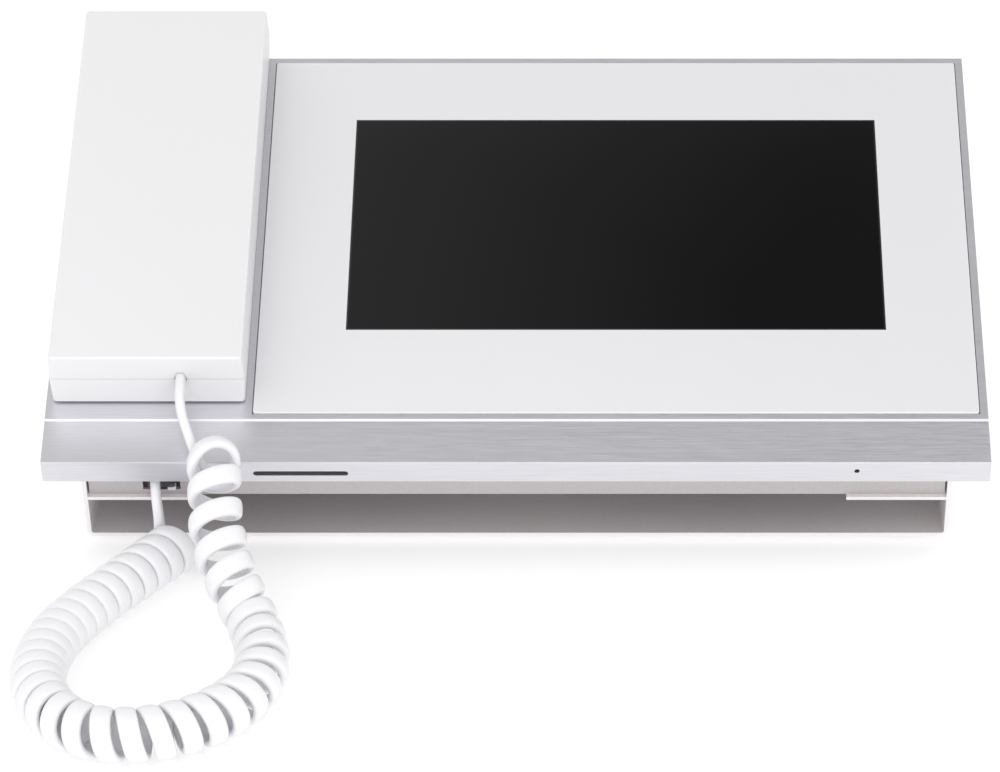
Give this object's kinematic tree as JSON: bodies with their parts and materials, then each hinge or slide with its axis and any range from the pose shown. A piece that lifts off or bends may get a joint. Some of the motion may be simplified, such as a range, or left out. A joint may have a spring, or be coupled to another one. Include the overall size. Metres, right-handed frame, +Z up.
{
  "type": "video intercom monitor",
  "caption": "Desk-standing video intercom: wide aluminium frame, white glass with a black touch display, corded lift-off handset on the left, sheet-steel back box and wedge stand.",
  "frame": {"origin": "centre of the object's plan, without its cord, on the surface it stands on", "axes": "+X to the user's right along the width, -Y towards the user, +Z up"},
  "size_m": [0.2664, 0.2656, 0.1081],
  "materials": {
    "brushed_aluminium": "brushed along the width, clear anodised",
    "white_glass": "toughened glass, printed white on its back with a clear black window",
    "display_black": "gloss",
    "zinc_steel": "zinc-coated sheet, fine rolled grain",
    "screw_steel": "zinc plated",
    "black_rubber": "matt",
    "clear_rubber": "satin",
    "board_laminate": "solder mask",
    "pillar_brass": "turned",
    "flex_amber": "satin film",
    "black_plastic": "fine texture",
    "green_plastic": "satin",
    "red_plastic": "satin",
    "can_metal": "bright",
    "cast_weight": "as cast",
    "white_plastic": "fine satin texture",
    "cord_white": "satin thermoplastic jacket",
    "clear_plastic": "clear"
  },
  "bodies": {
    "root": {"front_frame": "brushed_aluminium", "cover_glass": "white_glass", "display_module": "display_black", "display_bracket": "zinc_steel", "back_box": "zinc_steel", "box_screws": "screw_steel", "desk_stand": "zinc_steel", "stand_screws": "screw_steel", "rubber_feet": "black_rubber", "main_board": "board_laminate", "board_pillars": "pillar_brass", "board_screws": "screw_steel", "shield_can": "zinc_steel", "ribbon_cable": "flex_amber", "speaker": "black_plastic", "speaker_gasket": "black_rubber", "speaker_mesh": "black_plastic", "microphone": "can_metal", "microphone_boot": "black_rubber", "terminal_block": "green_plastic", "terminal_screws": "screw_steel", "handset_socket": "black_plastic", "hook_switch": "black_plastic", "keeper_plates": "zinc_steel", "rest_pads": "clear_rubber", "upper_lead": "cord_white", "curly_cord": "cord_white", "lower_lead": "cord_white", "cord_plug": "clear_plastic"},
    "handset": {"handset_upper_shell": "white_plastic", "handset_lower_shell": "white_plastic", "earpiece": "black_plastic", "earpiece_gasket": "black_rubber", "handset_microphone": "can_metal", "handset_mic_boot": "black_rubber", "handset_board": "board_laminate", "handset_weight": "cast_weight", "handset_magnets": "can_metal", "handset_screws": "screw_steel", "cord_gland": "cord_white"},
    "hook_plunger": {"hook_plunger": "white_plastic", "switch_button": "red_plastic"}
  },
  "joints": [
    {"name": "handset_lift", "type": "slide", "parent": "root", "child": "handset", "axis": [0, -0.342, 0.9397], "range_m": [0, 0.05]},
    {"name": "hook_travel", "type": "slide", "parent": "root", "child": "hook_plunger", "axis": [0, -0.342, 0.9397], "range_m": [0, 0.003], "stiffness_N_per_m": 60, "springref_m": 0.003}
  ],
  "couplings": [
    {"joint": "hook_travel", "follows": "handset_lift", "ratio": 0.06}
  ]
}
